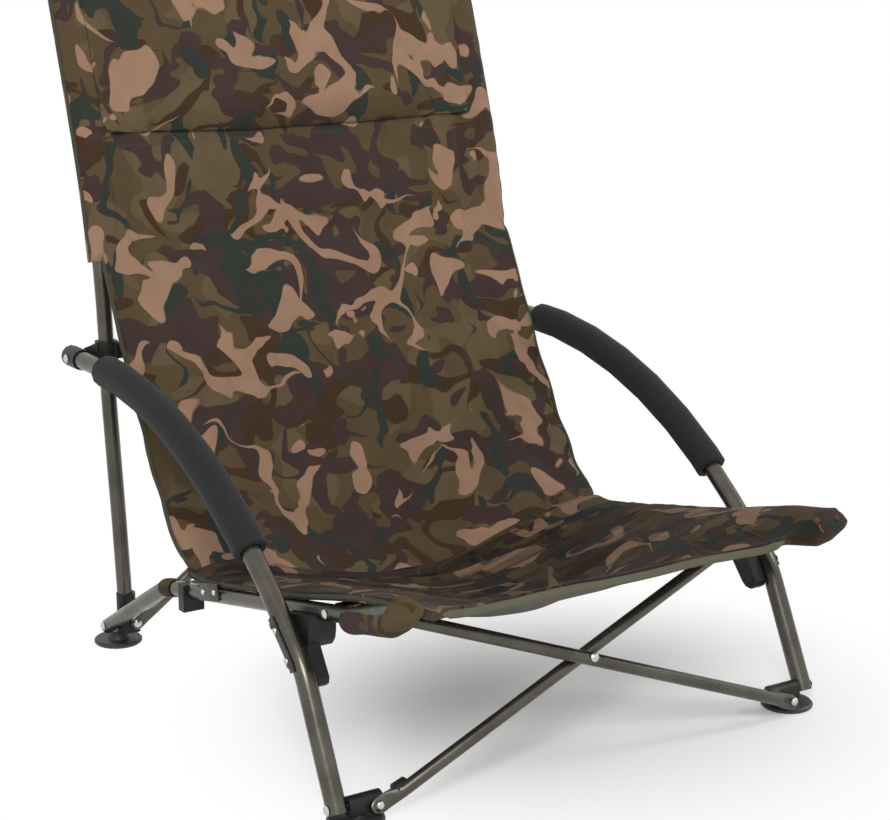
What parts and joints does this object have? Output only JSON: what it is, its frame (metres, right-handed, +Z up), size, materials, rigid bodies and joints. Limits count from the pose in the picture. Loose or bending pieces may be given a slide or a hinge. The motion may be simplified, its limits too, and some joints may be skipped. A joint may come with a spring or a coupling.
{
  "type": "carp fishing chair",
  "caption": "Folding low fishing chair: bent steel side frames, crossed braces front and rear, padded camouflage sling seat and back, foam arms, round mud feet.",
  "frame": {"origin": "centre of the bounding box on the floor, under the middle of the seat", "axes": "+X to the sitter's left as seen from the front, which is the viewer's right; -Y the front; +Z up"},
  "size_m": [0.641, 0.7656, 0.8086],
  "materials": {
    "olive_steel": "satin olive-grey paint with a fine metallic fleck",
    "bright_steel": "zinc-plated rivets, brushed",
    "black_moulding": "moulded nylon, matt",
    "grey_rubber": "hard dark-grey rubber, matt",
    "foam": "closed-cell foam, matt",
    "camouflage_cloth": "printed woven polyester over padding"
  },
  "bodies": {
    "left_side": {"upright_l": "olive_steel", "upright_plug_l": "black_moulding", "rear_socket_l": "black_moulding", "rail_pin_l": "bright_steel", "rear_disc_l": "grey_rubber", "rear_foot_pin_l": "bright_steel", "back_upper": "camouflage_cloth", "back_lower": "camouflage_cloth", "head_pad": "camouflage_cloth"},
    "rear_brace_a": {"rear_brace_a": "olive_steel", "rear_cross_pin": "bright_steel"},
    "rear_brace_b": {"rear_brace_b": "olive_steel"},
    "right_side": {"upright_r": "olive_steel", "upright_plug_r": "black_moulding", "rear_socket_r": "black_moulding", "rail_pin_r": "bright_steel", "rear_disc_r": "grey_rubber", "rear_foot_pin_r": "bright_steel"},
    "slider_left": {"collar_l": "black_moulding", "arm_pin_l": "bright_steel"},
    "leg_left": {"arm_leg_l": "olive_steel", "arm_grip_l": "foam", "arm_cap_l": "black_moulding", "cradle_l": "black_moulding", "cradle_strap_l": "bright_steel", "foot_pin_l": "bright_steel"},
    "foot_left": {"front_bracket_l": "black_moulding", "front_disc_l": "grey_rubber"},
    "rail_left": {"rail_l": "olive_steel", "front_rail_pin_l": "bright_steel", "rail_clamp_l": "black_moulding", "rail_loop_l": "camouflage_cloth", "seat_pocket_l": "camouflage_cloth", "seat": "camouflage_cloth"},
    "swivel_left": {"rail_swivel_l": "black_moulding", "front_brace_pin_l": "bright_steel"},
    "slider_right": {"collar_r": "black_moulding", "arm_pin_r": "bright_steel"},
    "leg_right": {"arm_leg_r": "olive_steel", "arm_grip_r": "foam", "arm_cap_r": "black_moulding", "cradle_r": "black_moulding", "cradle_strap_r": "bright_steel", "foot_pin_r": "bright_steel"},
    "foot_right": {"front_bracket_r": "black_moulding", "front_disc_r": "grey_rubber"},
    "rail_right": {"rail_r": "olive_steel", "front_rail_pin_r": "bright_steel", "rail_clamp_r": "black_moulding", "rail_loop_r": "camouflage_cloth", "seat_pocket_r": "camouflage_cloth"},
    "swivel_right": {"rail_swivel_r": "black_moulding"},
    "front_brace_b": {"front_brace_b": "olive_steel", "front_cross_pin": "bright_steel"},
    "front_brace_a": {"front_brace_a": "olive_steel"}
  },
  "joints": [
    {"name": "fold", "type": "hinge", "parent": "left_side", "child": "rear_brace_a", "pos_m": [-0.245, 0.2744, 0.028], "axis": [0, -0.9857, 0.1685], "range_deg": [0, 42.35], "deforming": ["seat", "back_lower", "back_upper", "head_pad"]},
    {"name": "rear_cross", "type": "hinge", "parent": "rear_brace_a", "child": "rear_brace_b", "pos_m": [0, 0.27442, 0.1985], "axis": [0, -0.9857, 0.1685], "range_deg": [-84.71, 0]},
    {"name": "right_side_turn", "type": "hinge", "parent": "rear_brace_b", "child": "right_side", "pos_m": [0.245, 0.2598, 0.028], "axis": [0, -0.9857, 0.1685], "range_deg": [0, 42.36]},
    {"name": "collar_slide_left", "type": "hinge", "parent": "left_side", "child": "slider_left", "pos_m": [-0.2747, 1.1275, 0.345], "axis": [-1, 0, 0], "range_deg": [0, 16.11]},
    {"name": "arm_turn_left", "type": "hinge", "parent": "slider_left", "child": "leg_left", "pos_m": [-0.302, 0.2905, 0.36], "axis": [1, 0, 0], "range_deg": [0, 42.96]},
    {"name": "foot_turn_left", "type": "hinge", "parent": "leg_left", "child": "foot_left", "pos_m": [-0.291, -0.3035, 0.019], "axis": [1, 0, 0], "range_deg": [-19.16, 0]},
    {"name": "rail_turn_left", "type": "hinge", "parent": "left_side", "child": "rail_left", "pos_m": [-0.27405, 0.2895, 0.027], "axis": [-1, 0, 0], "range_deg": [0, 44.78]},
    {"name": "swivel_turn_left", "type": "hinge", "parent": "rail_left", "child": "swivel_left", "pos_m": [-0.27405, -0.2525, 0.19803], "axis": [1, 0, 0], "range_deg": [0, 52.48]},
    {"name": "collar_slide_right", "type": "hinge", "parent": "right_side", "child": "slider_right", "pos_m": [0.2747, 1.1275, 0.345], "axis": [-1, 0, 0], "range_deg": [0, 16.11]},
    {"name": "arm_turn_right", "type": "hinge", "parent": "slider_right", "child": "leg_right", "pos_m": [0.302, 0.2905, 0.36], "axis": [1, 0, 0], "range_deg": [0, 42.96]},
    {"name": "foot_turn_right", "type": "hinge", "parent": "leg_right", "child": "foot_right", "pos_m": [0.291, -0.3035, 0.019], "axis": [1, 0, 0], "range_deg": [-19.16, 0]},
    {"name": "rail_turn_right", "type": "hinge", "parent": "right_side", "child": "rail_right", "pos_m": [0.27405, 0.2895, 0.027], "axis": [-1, 0, 0], "range_deg": [0, 44.78]},
    {"name": "swivel_turn_right", "type": "hinge", "parent": "rail_right", "child": "swivel_right", "pos_m": [0.27405, -0.2525, 0.19803], "axis": [1, 0, 0], "range_deg": [0, 52.48]},
    {"name": "front_brace_turn", "type": "hinge", "parent": "swivel_left", "child": "front_brace_b", "pos_m": [-0.238, -0.27959, 0.19803], "axis": [0, 0.9617, -0.274], "range_deg": [0, 55.63]},
    {"name": "front_cross", "type": "hinge", "parent": "front_brace_b", "child": "front_brace_a", "pos_m": [0, -0.30149, 0.11276], "axis": [0, -0.9617, 0.274], "range_deg": [0, 111.26]}
  ],
  "couplings": [
    {"joint": "rear_cross", "follows": "fold", "ratio": -2},
    {"joint": "right_side_turn", "follows": "fold", "ratio": 1},
    {"joint": "collar_slide_left", "follows": "fold", "ratio": 0.38012},
    {"joint": "arm_turn_left", "follows": "fold", "ratio": 1.0141},
    {"joint": "foot_turn_left", "follows": "fold", "ratio": -0.45215},
    {"joint": "rail_turn_left", "follows": "fold", "ratio": 1.0571},
    {"joint": "swivel_turn_left", "follows": "fold", "ratio": 1.2389},
    {"joint": "collar_slide_right", "follows": "fold", "ratio": 0.38012},
    {"joint": "arm_turn_right", "follows": "fold", "ratio": 1.0141},
    {"joint": "foot_turn_right", "follows": "fold", "ratio": -0.45215},
    {"joint": "rail_turn_right", "follows": "fold", "ratio": 1.0571},
    {"joint": "swivel_turn_right", "follows": "fold", "ratio": 1.2389},
    {"joint": "front_brace_turn", "follows": "fold", "ratio": 1.3134},
    {"joint": "front_cross", "follows": "fold", "ratio": 2.6268}
  ]
}
